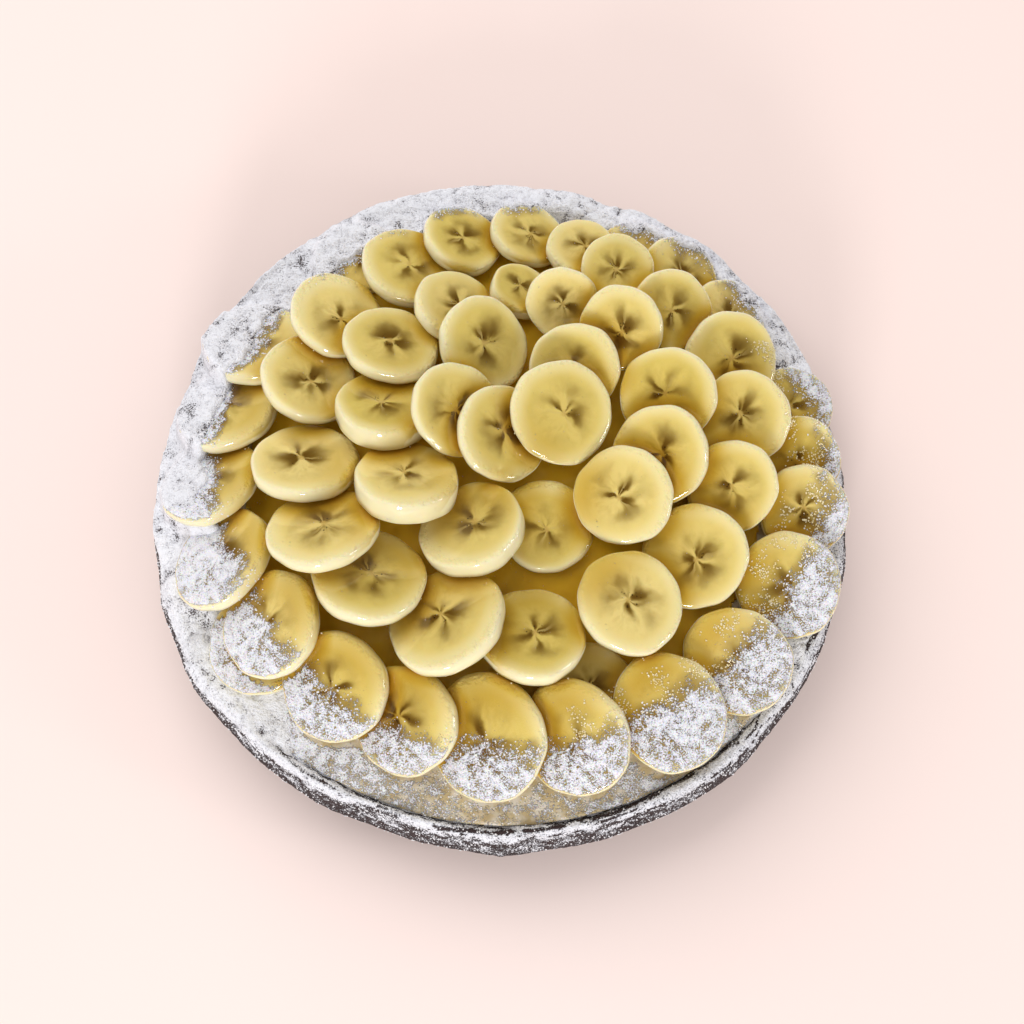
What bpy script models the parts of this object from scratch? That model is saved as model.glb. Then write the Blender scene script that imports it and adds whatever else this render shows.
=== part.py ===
"""A round banana tart, 230 mm across.

A case of dark short crust holds a domed custard filling, and fifty-six banana slices lie on it in
overlapping rings. The slices are laid one by one, lowest first, and each settles on what lies under it:
of all the planes that clear the heights below, it takes the one that holds its middle lowest, as a rigid
disc comes to rest.
"""

import math
import random

import bmesh
import bpy
import numpy as np
from mathutils import Matrix, Vector

# Driving dimensions, in millimetres. The tart stands on z = 0, with its middle on the Z axis.
MM = 0.001
GAP = 0.3

RIM_RADIUS = 114.5
BASE_RADIUS = 111.5
CASE_HEIGHT = 30.0
RIM_WIDTH = 8.0
FLOOR = 5.0
CASE_SEGMENTS = 120

# The foot is cut back by this much up to this height, so that it isn't sharp.
FOOT_CUT = 1.5
FOOT_RISE = 2.0

# The rim's rounded outer edge and its inner lip: how far in from the outline, or out from the inside, and
# how far down from the crest.
OUTER_EDGE = ((0.0, 4.5), (1.2, 1.2), (3.6, 0.0))
INNER_LIP = ((1.6, 1.0), (0.0, 4.5))
INNER_LEAN = 1.5

# How much the pastry wanders, in millimetres: its outline, the top of its rim and its wall.
OUTLINE_CRAG = 0.45
CREST_CRAG = 0.9
WALL_CRAG = 0.35

# Where the case bulges or draws in: bearing and half width in degrees, and how far in millimetres.
BULGES = (
    (8, 16, -1.2),
    (75, 10, -1.0),
    (112, 18, 0.8),
    (165, 14, -1.5),
    (212, 16, 1.5),
    (248, 14, -1.0),
    (308, 16, 1.2),
)

# At the front the rim's outer edge has slumped: round this bearing and half width in degrees, each point
# of the outer edge has gone this far in and this far down.
SLUMP = (262, 50)
SLUMPED = ((0.0, 5.6), (2.5, 1.4), (1.7, 0.6))

# The filling: its height at the edge, the rise of its dome, its upright shoulder and how much it ripples.
CUSTARD_EDGE = 27.5
CUSTARD_DOME = 14.0
CUSTARD_DOME_POWER = 2.6
CUSTARD_SHOULDER = 3.0
CUSTARD_RIPPLES = (0.5, 0.35)
CUSTARD_SEGMENTS = 60
CUSTARD_SHARES = (0.995, 0.93, 0.82, 0.68, 0.5, 0.3)

# A slice from below to above: share of its reach and height in thicknesses. Its face is a little hollow.
SLICE_EDGE = ((0.97, -1.0), (1.0, -0.32), (0.92, 0.0))
SLICE_HOLLOW = 0.35
SLICE_SEGMENTS = 24
SLICE_THICKNESS = 5.2

# A slice rests on what lies under this share of its width and tilts no further than this. Heights are kept
# on cells of this size.
RESTING_SHARE = 0.48
STEEPEST = math.radians(32)
CELL = 0.6

# The slices in the order that they are laid, in rings: bearing from +X in degrees, distance from the
# middle and width.
UNDERNEATH = ((292, 72, 30), (214, 92, 34))
OUTER_RING = (
    (62, 97, 26),
    (51, 97, 28),
    (38, 97, 28),
    (17, 101, 28),
    (5, 97, 29),
    (355, 98, 30),
    (340, 97, 35),
    (322, 94, 33),
    (305, 91, 35),
    (285, 86, 34),
    (267, 83, 37),
    (249, 83, 35),
    (233, 85, 35),
    (214, 86, 35),
    (196, 92, 36),
    (179, 94, 35),
    (163, 94, 35),
    (148, 96, 35),
    (121, 97, 30),
)
MIDDLE_RING = (
    (281, 52, 34),
    (250, 50, 38),
    (220, 52, 36),
    (199, 58, 36),
    (175, 62, 35),
    (151, 70, 32),
    (133, 78, 32),
    (112, 83, 31),
    (98, 89, 28),
    (84, 92, 27),
    (72, 88, 24),
    (62, 82, 25),
    (45, 79, 28),
    (28, 85, 32),
    (14, 80, 31),
    (357, 73, 30),
    (337, 66, 34),
    (314, 58, 34),
)
INNER_RING = (
    (314, 21, 31),
    (241, 20, 34),
    (185, 29, 33),
    (149, 43, 31),
    (128, 57, 32),
    (103, 61, 30),
    (84, 68, 21),
    (71, 61, 24),
    (51, 61, 28),
    (25, 58, 32),
    (6, 50, 32),
    (348, 39, 32),
)
TOP = ((96, 44, 32), (125, 23, 31), (83, 12, 32), (56, 42, 30), (43, 27, 34))

# Slices cut thicker or thinner than the rest: their number in that order, and how thick they are.
UNEVEN_CUTS = {41: 7.0, 42: 8.5, 43: 8.0, 52: 4.5, 53: 4.2, 54: 4.4, 56: 4.8}

# The slices at the front of the outer ring are cut aslant, so they are longer towards the rim.
OBLIQUE_CUTS = (260, 330)
OBLIQUE_FROM = 80
OBLIQUE_STRETCH = 1.12


def clear_scene():
    for thing in list(bpy.data.objects):
        bpy.data.objects.remove(thing, do_unlink=True)


def material(name, colour, roughness):
    """A plain dielectric surface in the given colour."""
    made = bpy.data.materials.new(name)
    made.use_nodes = True
    shader = made.node_tree.nodes["Principled BSDF"]
    shader.inputs["Base Color"].default_value = (*colour, 1.0)
    shader.inputs["Roughness"].default_value = roughness
    shader.inputs["Metallic"].default_value = 0.0
    return made


def add_object(name, points, faces, surface):
    """An object from points in millimetres, its normals turned outwards."""
    mesh = bpy.data.meshes.new(name)
    mesh.from_pydata([Vector(point) * MM for point in points], [], faces)
    body = bmesh.new()
    body.from_mesh(mesh)
    bmesh.ops.recalc_face_normals(body, faces=body.faces)
    bmesh.ops.triangulate(body, faces=body.faces)
    body.to_mesh(mesh)
    body.free()
    mesh.shade_smooth()
    mesh.set_sharp_from_angle(angle=math.radians(50))
    mesh.materials.append(surface)
    thing = bpy.data.objects.new(name, mesh)
    bpy.context.scene.collection.objects.link(thing)
    return thing


def lathe(profiles, bottom, top):
    """Points and faces of a turned body: a row of points for each ring, and a middle point at each end."""
    count = len(profiles[0])
    points = [bottom] + [point for ring in profiles for point in ring] + [top]
    faces = []
    for i in range(count):
        j = (i + 1) % count
        faces.append((0, 1 + j, 1 + i))
        for k in range(len(profiles) - 1):
            low, high = 1 + k * count, 1 + (k + 1) * count
            faces.append((low + i, low + j, high + j, high + i))
        last = 1 + (len(profiles) - 1) * count
        faces.append((last + i, last + j, len(points) - 1))
    return points, faces


def bump(angle, bearing, half_width, amount):
    """A soft rise of this amount round a bearing."""
    off = (math.degrees(angle) - bearing + 180) % 360 - 180
    return amount * math.exp(-((off / half_width) ** 2))


def case_swell(angle):
    """How far the case departs from a true circle at this angle."""
    return sum(bump(angle, *bulge) for bulge in BULGES)


def crags(seed, lowest_order, highest_order):
    """A function of the angle, about -1 to 1, that wanders as hand-pressed pastry does."""
    draw = random.Random(seed)
    orders = range(lowest_order, highest_order)
    waves = [(order, draw.uniform(0, math.tau), draw.uniform(0.4, 1)) for order in orders]
    total = math.sqrt(sum(size * size for _, _, size in waves))
    return lambda angle: sum(size * math.cos(order * angle + start) for order, start, size in waves) / total


def inner_radius(angle):
    return RIM_RADIUS + case_swell(angle) - RIM_WIDTH


def crust():
    """The case: flat floor, nearly upright wall and a rounded, craggy rim."""
    outline_crag, crest_crag, wall_crag = crags(3, 9, 30), crags(5, 9, 38), crags(8, 18, 46)
    angles = [math.tau * i / CASE_SEGMENTS for i in range(CASE_SEGMENTS)]

    def ring(radius_of, height_of):
        return [(radius_of(a) * math.cos(a), radius_of(a) * math.sin(a), height_of(a)) for a in angles]

    def base(a):
        return BASE_RADIUS + case_swell(a) + WALL_CRAG * wall_crag(a)

    def rim(a):
        return RIM_RADIUS + case_swell(a) + OUTLINE_CRAG * outline_crag(a)

    def middle(a):
        return (base(a) + rim(a)) / 2 + WALL_CRAG * wall_crag(a)

    def crest(a):
        return CASE_HEIGHT + CREST_CRAG * crest_crag(a)

    rings = [
        ring(lambda a: base(a) - FOOT_CUT, lambda a: 0.0),
        ring(base, lambda a: FOOT_RISE),
        ring(middle, lambda a: CASE_HEIGHT / 2),
    ]
    for (inset, drop), (further_in, further_down) in zip(OUTER_EDGE, SLUMPED):
        rings.append(
            ring(
                lambda a, inset=inset, more=further_in: rim(a) - inset - bump(a, *SLUMP, more),
                lambda a, drop=drop, more=further_down: crest(a) - drop - bump(a, *SLUMP, more),
            )
        )
    for inset, drop in INNER_LIP:
        rings.append(
            ring(
                lambda a, inset=inset: inner_radius(a) + inset,
                lambda a, drop=drop: crest(a) - drop,
            )
        )
    rings.append(ring(lambda a: inner_radius(a) - INNER_LEAN, lambda a: FLOOR))
    return lathe(rings, (0, 0, 0), (0, 0, FLOOR))


def custard_height(share, angle):
    """Height of the filling at a share of the way from the middle to the case."""
    dome = CUSTARD_DOME * (1 - share**CUSTARD_DOME_POWER)
    across, around = CUSTARD_RIPPLES
    ripple = across * share * math.sin(5 * angle + 4 * share) + around * math.cos(3 * angle - 7 * share)
    return CUSTARD_EDGE + dome + ripple * (1 - share**4)


def custard():
    """The filling: it fills the case to its inner wall and swells towards the middle."""
    angles = [math.tau * i / CUSTARD_SEGMENTS for i in range(CUSTARD_SEGMENTS)]

    def ring(inset, share, height_of):
        reach = [(inner_radius(a) - inset) * share for a in angles]
        return [(r * math.cos(a), r * math.sin(a), height_of(a)) for r, a in zip(reach, angles)]

    floor = FLOOR + GAP
    rings = [
        ring(INNER_LEAN + 2 * GAP, 1.0, lambda a: floor),
        ring(2 * GAP, 1.0, lambda a: CUSTARD_EDGE - CUSTARD_SHOULDER),
    ]
    for share in CUSTARD_SHARES:
        rings.append(ring(2 * GAP, share, lambda a, share=share: custard_height(share, a)))
    return lathe(rings, (0, 0, floor), (0, 0, custard_height(0, 0)))


class Pile:
    """Heights of everything laid so far, on a square grid of cells."""

    def __init__(self):
        reach = RIM_RADIUS + 15
        self.ticks = np.arange(-reach, reach, CELL)
        self.heights = np.zeros((len(self.ticks), len(self.ticks)))

    def window(self, low, high):
        """The cells between two values along one axis."""
        first = max(0, int((low - self.ticks[0]) / CELL) - 1)
        return slice(first, int((high - self.ticks[0]) / CELL) + 3)

    def surface(self, points, faces, upper):
        """(row window, column window, heights) of a body seen from above or below, with NaN beside it."""
        points = np.asarray(points, float)
        low, high = points.min(axis=0), points.max(axis=0)
        columns, rows = self.window(low[0], high[0]), self.window(low[1], high[1])
        x, y = np.meshgrid(self.ticks[columns], self.ticks[rows])
        found = np.full(x.shape, np.nan)
        choose = np.fmax if upper else np.fmin
        for face in faces:
            a = points[face[0]]
            for second, third in zip(face[1:], face[2:]):
                self.add_triangle(found, x, y, (a, points[second], points[third]), choose)
        return rows, columns, found

    @staticmethod
    def add_triangle(found, x, y, corners, choose):
        """Puts a triangle's heights into the cells that it covers."""
        (ax, ay, az), (bx, by, bz), (cx, cy, cz) = corners
        area = (bx - ax) * (cy - ay) - (cx - ax) * (by - ay)
        if abs(area) < 1e-6:
            return
        c0, r0 = x[0, 0], y[0, 0]
        left, right = int((min(ax, bx, cx) - c0) / CELL), int((max(ax, bx, cx) - c0) / CELL) + 2
        near, far = int((min(ay, by, cy) - r0) / CELL), int((max(ay, by, cy) - r0) / CELL) + 2
        patch = slice(max(near, 0), far), slice(max(left, 0), right)
        px, py = x[patch] - ax, y[patch] - ay
        u = (px * (cy - ay) - (cx - ax) * py) / area
        v = ((bx - ax) * py - px * (by - ay)) / area
        inside = (u >= 0) & (v >= 0) & (u + v <= 1)
        height = np.where(inside, az + u * (bz - az) + v * (cz - az), np.nan)
        found[patch] = choose(found[patch], height)

    def add(self, points, faces):
        """Raises the pile by a body and one cell round it, so that the next one stays clear of its sides."""
        rows, columns, found = self.surface(points, faces, upper=True)
        found = np.nan_to_num(found, nan=0.0)
        wide = found.copy()
        for shift in ((0, 1), (0, -1), (1, 0), (-1, 0), (1, 1), (1, -1), (-1, 1), (-1, -1)):
            wide = np.maximum(wide, np.roll(found, shift, axis=(0, 1)))
        self.heights[rows, columns] = np.maximum(self.heights[rows, columns], wide)

    def resting_plane(self, x, y, radius):
        """Slopes along X and Y of the plane that clears the heights round (x, y) and is lowest there."""
        columns, rows = self.window(x - radius, x + radius), self.window(y - radius, y + radius)
        dx, dy = np.meshgrid(self.ticks[columns] - x, self.ticks[rows] - y)
        under = dx * dx + dy * dy <= radius * radius
        dx, dy, height = dx[under], dy[under], self.heights[rows, columns][under]
        steepest = math.tan(STEEPEST)

        def best_along_y(slope_x):
            rest = height - slope_x * dx
            limit = math.sqrt(max(steepest**2 - slope_x**2, 0))
            return lowest(lambda slope_y: float((rest - slope_y * dy).max()), -limit, limit)

        slope_x, _ = lowest(lambda slope: best_along_y(slope)[1], -steepest, steepest)
        return slope_x, best_along_y(slope_x)[0]

    def drop(self, points, faces):
        """How far a body moves up or down to rest on the pile."""
        rows, columns, found = self.surface(points, faces, upper=False)
        return float(np.nanmax(self.heights[rows, columns] - found)) + GAP


def lowest(height_at, low, high, rounds=22):
    """Where a function with one valley is lowest between two values, and its value there."""
    golden = (math.sqrt(5) - 1) / 2
    a, b = high - golden * (high - low), low + golden * (high - low)
    height_a, height_b = height_at(a), height_at(b)
    for _ in range(rounds):
        if height_a < height_b:
            high, b, height_b = b, a, height_a
            a = high - golden * (high - low)
            height_a = height_at(a)
        else:
            low, a, height_a = a, b, height_b
            b = low + golden * (high - low)
            height_b = height_at(b)
    middle = (low + high) / 2
    return middle, height_at(middle)


def slice_body(width, thickness, stretch, seed):
    """A banana slice lying flat, its face's middle at the origin: an uneven round with a rounded edge."""
    draw = random.Random(seed)
    phases = [draw.uniform(0, math.tau) for _ in range(3)]

    def reach(angle):
        uneven = 0.012 * math.cos(3 * angle + phases[0]) + 0.01 * math.cos(5 * angle + phases[1])
        return width / 2 * (0.975 + uneven + 0.008 * math.cos(2 * angle + phases[2]))

    def ring(share, height):
        turned = [math.tau * i / SLICE_SEGMENTS for i in range(SLICE_SEGMENTS)]
        across = [(a, share * reach(a)) for a in turned]
        return [(r * math.cos(a) * stretch, r * math.sin(a), height) for a, r in across]

    rings = [ring(share, height * thickness) for share, height in SLICE_EDGE]
    return lathe(rings, (0, 0, -thickness), (0, 0, -SLICE_HOLLOW))


def lay_slice(pile, bearing, distance, width, seed):
    """The points and faces of one slice, settled on the pile with its upper face over the given place."""
    draw = random.Random(seed)
    thickness = UNEVEN_CUTS.get(seed, SLICE_THICKNESS * draw.uniform(0.9, 1.1))
    angle = math.radians(bearing)
    x, y = distance * math.cos(angle), distance * math.sin(angle)
    oblique = distance > OBLIQUE_FROM and OBLIQUE_CUTS[0] <= bearing <= OBLIQUE_CUTS[1]
    stretch = OBLIQUE_STRETCH if oblique else 1.0
    flat, faces = slice_body(width, thickness, stretch, seed)
    foot_x, foot_y = x, y
    for _ in range(3):
        slope_x, slope_y = pile.resting_plane(foot_x, foot_y, RESTING_SHARE * width)
        normal = Vector((-slope_x, -slope_y, 1)).normalized()
        foot_x, foot_y = x - thickness * normal.x, y - thickness * normal.y
    along = Vector((math.cos(angle), math.sin(angle), 0))
    along = (along - along.dot(normal) * normal).normalized()
    turn = Matrix((along, normal.cross(along), normal)).transposed()
    points = [turn @ Vector(point) + Vector((x, y, 0)) for point in flat]
    rise = pile.drop(points, faces)
    return [point + Vector((0, 0, rise)) for point in points], faces


def main():
    clear_scene()
    pastry = material("dark_short_crust", (0.055, 0.036, 0.03), 0.9)
    cream = material("custard", (0.79, 0.62, 0.27), 0.5)
    fruit = material("banana_flesh", (0.83, 0.7, 0.33), 0.35)

    pile = Pile()
    for name, shape, surface in (("crust", crust, pastry), ("custard", custard, cream)):
        points, faces = shape()
        add_object(name, points, faces, surface)
        pile.add(points, faces)

    rows = UNDERNEATH + OUTER_RING + MIDDLE_RING + INNER_RING + TOP
    for number, (bearing, distance, width) in enumerate(rows, start=1):
        points, faces = lay_slice(pile, bearing, distance, width, seed=number)
        add_object(f"banana_{number:02d}", points, faces, fruit)
        pile.add(points, faces)


main()
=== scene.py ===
import math

import bpy
import numpy as np
from mathutils import Matrix, Vector, noise
from mathutils.bvhtree import BVHTree


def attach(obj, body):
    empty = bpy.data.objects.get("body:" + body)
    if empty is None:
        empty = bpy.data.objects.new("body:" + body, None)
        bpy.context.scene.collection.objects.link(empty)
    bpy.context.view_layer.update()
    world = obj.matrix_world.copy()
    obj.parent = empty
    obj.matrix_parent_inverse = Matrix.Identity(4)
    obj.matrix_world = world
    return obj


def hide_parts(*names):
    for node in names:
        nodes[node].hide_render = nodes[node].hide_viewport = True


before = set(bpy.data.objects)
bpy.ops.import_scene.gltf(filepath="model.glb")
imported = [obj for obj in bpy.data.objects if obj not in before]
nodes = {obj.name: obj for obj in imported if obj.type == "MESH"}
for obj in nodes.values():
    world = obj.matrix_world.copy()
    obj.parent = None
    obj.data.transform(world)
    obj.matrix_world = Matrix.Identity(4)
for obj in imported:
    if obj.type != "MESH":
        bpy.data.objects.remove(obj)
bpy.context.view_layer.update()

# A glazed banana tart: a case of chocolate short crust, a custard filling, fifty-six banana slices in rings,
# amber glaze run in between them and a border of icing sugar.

# Lengths are in millimetres until a mesh is made. Angles are bearings from +X, in radians.
MM = 0.001

CRUST_ROUND = 900
CUSTARD_ROUND = 240
BANK_ROUND = 1100
BANK_STEPS = 42
SLICE_ROUND = 72
GLAZE_CELL = 0.9

# The bank of sugar begins this far from the middle, and the glaze on the filling ends this far out. Both are
# sheets of this thickness.
BANK_START = 86.0
GLAZE_END = 84.0
SHEET = 1.5

# Surfaces are looked for downwards from this height, and inwards from this far out.
ABOVE = 90.0
OUTSIDE = 130.0

# Heights: where the rim is widest, where the floor of the case ends, and where the filling is at full width.
WIDEST = 25.5
FLOOR_TOP = 6.0
FULL_WIDTH = 20.0

# How far from the middle the icing sugar begins, at these bearings in degrees.
SUGAR_EDGE = (
    (0, 103),
    (60, 102),
    (100, 97),
    (125, 93),
    (180, 92),
    (200, 85),
    (300, 84),
    (315, 89),
    (340, 94),
)

# How deep the bank of sugar buries the slices' outer ends, at these bearings: 0 leaves them clear.
BURIED = ((0, 0.1), (20, 0.6), (60, 0.9), (100, 1.0), (170, 1.0), (185, 0.7), (205, 0.0), (330, 0.0))

# The slice from below to above: share of its reach, height in mm, height in thicknesses, and how far it is
# cut face.
SLICE_ROWS = (
    (0.45, 0.0, -1.0, 0.0),
    (0.84, 0.0, -1.0, 0.0),
    (0.945, 0.15, -1.0, 0.0),
    (0.985, 0.7, -1.0, 0.0),
    (1.0, 0.0, -0.62, 0.0),
    (1.004, 0.0, -0.42, 0.0),
    (1.0, 0.0, -0.27, 0.0),
    (0.993, -1.1, 0.0, 0.0),
    (0.978, -0.62, 0.0, 0.1),
    (0.956, -0.29, 0.0, 0.5),
    (0.928, -0.09, 0.0, 0.85),
    (0.895, -0.01, 0.0, 1.0),
    (0.865, 0.01, 0.0, 1.0),
    (0.83, 0.0, 0.0, 1.0),
    (0.77, -0.03, 0.0, 1.0),
    (0.7, -0.06, 0.0, 1.0),
    (0.62, -0.09, 0.0, 1.0),
    (0.53, -0.12, 0.0, 1.0),
    (0.43, -0.15, 0.0, 1.0),
    (0.33, -0.18, 0.0, 1.0),
    (0.23, -0.21, 0.0, 1.0),
    (0.13, -0.24, 0.0, 1.0),
    (0.05, -0.25, 0.0, 1.0),
)


def smooth(low, high, value):
    """0 below low, 1 above high, and a soft step between them."""
    share = np.clip((np.asarray(value, float) - low) / (high - low), 0.0, 1.0)
    return share * share * (3 - 2 * share)


def wander(points, size, seed):
    """Soft noise between about -1 and 1 at each point, its waves about size mm long."""
    shift = Vector((seed * 17.3, seed * 5.9, seed * 11.7))
    return np.array([noise.noise(Vector(point) / size + shift) for point in points])


def bearings_of(points):
    return np.degrees(np.arctan2(points[:, 1], points[:, 0]))


def round_about(points, bearing, half_width):
    """1 at a bearing in degrees, falling softly to either side of it."""
    off = (bearings_of(points) - bearing + 180) % 360 - 180
    return np.exp(-((off / half_width) ** 2))


def at_bearing(points, pairs):
    """The value at each point's bearing, between those given for some bearings."""
    bearings, values = zip(*pairs)
    return np.interp(bearings_of(points), bearings, values, period=360)


# Materials


def colour(code):
    """Linear colour from an sRGB hex code."""
    parts = [int(code[i : i + 2], 16) / 255 for i in (1, 3, 5)]
    return (*[p / 12.92 if p <= 0.04045 else ((p + 0.055) / 1.055) ** 2.4 for p in parts], 1.0)


def node(tree, kind, inputs, **settings):
    """Adds a node with its settings. Each input is linked to a socket, or set to a value or a hex colour."""
    made = tree.nodes.new("ShaderNode" + kind)
    for name, value in settings.items():
        setattr(made, name, value)
    for name, value in inputs.items():
        if isinstance(value, bpy.types.NodeSocket):
            tree.links.new(value, made.inputs[name])
        else:
            made.inputs[name].default_value = colour(value) if isinstance(value, str) else value
    return made


def new_material(name):
    """A material with its tree and its shader, ready for a pattern."""
    made = bpy.data.materials.new(name)
    made.use_nodes = True
    return made, made.node_tree, made.node_tree.nodes["Principled BSDF"]


def per_mm(size):
    """A texture's scale for features of this many millimetres."""
    return 1.0 / (size * MM)


def within(tree, *ranges):
    """How far a place lies in all of these ranges at once. Each is a share alone, or a value with its low and
    high ends and the amounts there, and a soft step between them."""
    share = None
    for given in ranges:
        if isinstance(given, tuple):
            ends = dict(enumerate(given))
            given = node(tree, "MapRange", ends, interpolation_type="SMOOTHSTEP").outputs[0]
        if share is not None:
            given = node(tree, "Math", {0: share, 1: given}, operation="MULTIPLY").outputs[0]
        share = given
    return share


def dust_with_sugar(tree, shader, bare, bare_roughness, bare_coat, relief, patchy=1.6):
    """Lays icing sugar over a bare colour as far as the mesh's dust says: grains at the edge, a closed bed
    inside, and in between it comes in patches."""
    where = node(tree, "TexCoord", {}).outputs["Object"]
    dust = node(tree, "Attribute", {}, attribute_name="dust").outputs["Fac"]
    # A grain of icing sugar is too fine to show, so the specks are the clumps that it falls in, half a
    # millimetre wide.
    clump = node(tree, "TexNoise", {"Vector": where, "Scale": per_mm(0.52), "Detail": 2.0, "Roughness": 0.65})
    clump = clump.outputs["Fac"]
    drift = node(tree, "TexNoise", {"Vector": where, "Scale": per_mm(3.2), "Detail": 2.0}).outputs["Fac"]
    both = node(tree, "Math", {0: clump, 1: 2.1, 2: dust}, operation="MULTIPLY_ADD").outputs[0]
    drift = node(tree, "Math", {0: drift, 1: 0.5}, operation="SUBTRACT").outputs[0]
    both = node(tree, "Math", {0: drift, 1: patchy, 2: both}, operation="MULTIPLY_ADD").outputs[0]
    cover = node(tree, "MapRange", {"Value": both, "From Min": 1.62, "From Max": 1.9}).outputs["Result"]
    # Thin sugar looks grey, the grey between its lumps is painted shade, and heaped sugar is pure white.
    lumps = node(tree, "TexNoise", {"Vector": where, "Scale": per_mm(1.4), "Detail": 3.0, "Roughness": 0.6})
    lumps = lumps.outputs["Fac"]
    heaped_and_lit = node(tree, "Math", {0: lumps, 1: 2.0, 2: both}, operation="MULTIPLY_ADD").outputs[0]
    heaped_and_lit = node(tree, "MapRange", {"Value": heaped_and_lit, "From Min": 2.55, "From Max": 3.35}).outputs["Result"]
    white = node(tree, "Mix", {0: heaped_and_lit, 6: "#C6C5CC", 7: "#F6F7FD"}, data_type="RGBA").outputs[2]
    mixed = node(tree, "Mix", {0: cover, 6: bare, 7: white}, data_type="RGBA").outputs[2]
    tree.links.new(mixed, shader.inputs["Base Color"])
    matt = node(tree, "MapRange", {"Value": cover, "To Min": bare_roughness, "To Max": 0.92})
    tree.links.new(matt.outputs["Result"], shader.inputs["Roughness"])
    if bare_coat:
        gloss = node(tree, "MapRange", {"Value": cover, "To Min": bare_coat, "To Max": 0.0})
        tree.links.new(gloss.outputs["Result"], shader.inputs["Coat Weight"])
    heap = node(tree, "Math", {0: lumps, 1: 1.6, 2: clump}, operation="MULTIPLY_ADD").outputs[0]
    heap = node(tree, "Math", {0: cover, 1: heap}, operation="MULTIPLY").outputs[0]
    under = node(tree, "Bump", {"Height": relief, "Strength": 1.0, "Distance": 0.3 * MM}).outputs["Normal"]
    over = node(tree, "Bump", {"Height": heap, "Strength": 1.0, "Distance": 0.45 * MM, "Normal": under})
    tree.links.new(over.outputs["Normal"], shader.inputs["Normal"])


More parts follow.
